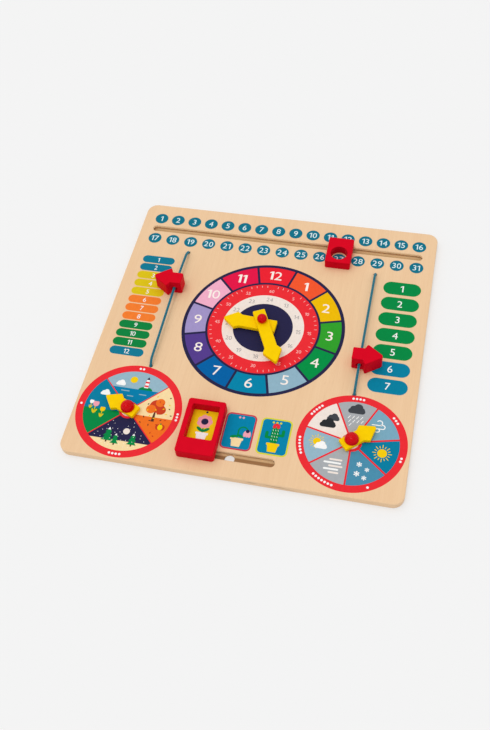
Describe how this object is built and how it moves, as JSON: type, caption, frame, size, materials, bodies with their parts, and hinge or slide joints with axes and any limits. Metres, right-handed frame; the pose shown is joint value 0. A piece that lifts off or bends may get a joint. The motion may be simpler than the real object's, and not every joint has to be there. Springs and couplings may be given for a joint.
{
  "type": "wooden clock calendar",
  "caption": "Flat square plywood learning board with a clock face, a swivelling date slider and a mood slider in slots, arrow beads on cords and two dial pointers.",
  "frame": {"origin": "centre of the board's underside", "axes": "+X right and +Y up across the printed face, +Z out of the printed face"},
  "size_m": [0.3, 0.3, 0.0254],
  "materials": {
    "plywood": "clear satin lacquer over birch plywood, printed face",
    "birch": "bare birch",
    "red_wood": "satin red lacquer",
    "yellow_wood": "satin yellow lacquer",
    "teal_cord": "braided cord",
    "white_nylon": "plain white nylon",
    "steel": "zinc plated"
  },
  "bodies": {
    "board": {"board": "plywood", "date_slot_backing": "birch", "mood_slot_backing": "birch", "month_cord": "teal_cord", "month_cord_knots": "teal_cord", "weekday_cord": "teal_cord", "weekday_cord_knots": "teal_cord", "clock_peg": "red_wood", "clock_base_washer": "white_nylon", "clock_hand_washer": "white_nylon", "season_knob": "red_wood", "season_washer": "white_nylon", "weather_knob": "red_wood", "weather_washer": "white_nylon"},
    "date_carriage": {"date_slider_bush": "white_nylon", "date_slider_retainer": "birch"},
    "date_slider": {"date_slider_block": "red_wood", "date_slider_screw": "steel"},
    "mood_slider": {"mood_slider_frame": "red_wood", "mood_slider_key": "birch", "mood_slider_retainer": "birch", "mood_slider_screw": "steel"},
    "month_bead": {"month_bead": "red_wood"},
    "weekday_bead": {"weekday_bead": "red_wood"},
    "hour_hand": {"hour_hand": "yellow_wood"},
    "minute_hand": {"minute_hand": "yellow_wood"},
    "season_pointer": {"season_pointer": "yellow_wood"},
    "weather_pointer": {"weather_pointer": "yellow_wood"}
  },
  "joints": [
    {"name": "date_slide", "type": "slide", "parent": "board", "child": "date_carriage", "axis": [1, 0, 0], "range_m": [-0.1899, 0.0751]},
    {"name": "date_swivel", "type": "hinge", "parent": "date_carriage", "child": "date_slider", "pos_m": [0.0574, 0.1175, 0.007], "axis": [0, 0, 1], "continuous": true},
    {"name": "mood_slide", "type": "slide", "parent": "board", "child": "mood_slider", "axis": [1, 0, 0], "range_m": [0, 0.063]},
    {"name": "month_slide", "type": "slide", "parent": "board", "child": "month_bead", "axis": [0, 1, 0], "range_m": [-0.0816, 0.032]},
    {"name": "weekday_slide", "type": "slide", "parent": "board", "child": "weekday_bead", "axis": [0, 1, 0], "range_m": [-0.0219, 0.0917]},
    {"name": "hour_turn", "type": "hinge", "parent": "board", "child": "hour_hand", "pos_m": [0.0003, 0.00925, 0.0108], "axis": [0, 0, 1], "continuous": true},
    {"name": "minute_turn", "type": "hinge", "parent": "board", "child": "minute_hand", "pos_m": [0.0003, 0.00925, 0.0156], "axis": [0, 0, 1], "continuous": true},
    {"name": "season_turn", "type": "hinge", "parent": "board", "child": "season_pointer", "pos_m": [-0.0993, -0.1001, 0.0101], "axis": [0, 0, 1], "continuous": true},
    {"name": "weather_turn", "type": "hinge", "parent": "board", "child": "weather_pointer", "pos_m": [0.0998, -0.0985, 0.0101], "axis": [0, 0, 1], "continuous": true}
  ]
}
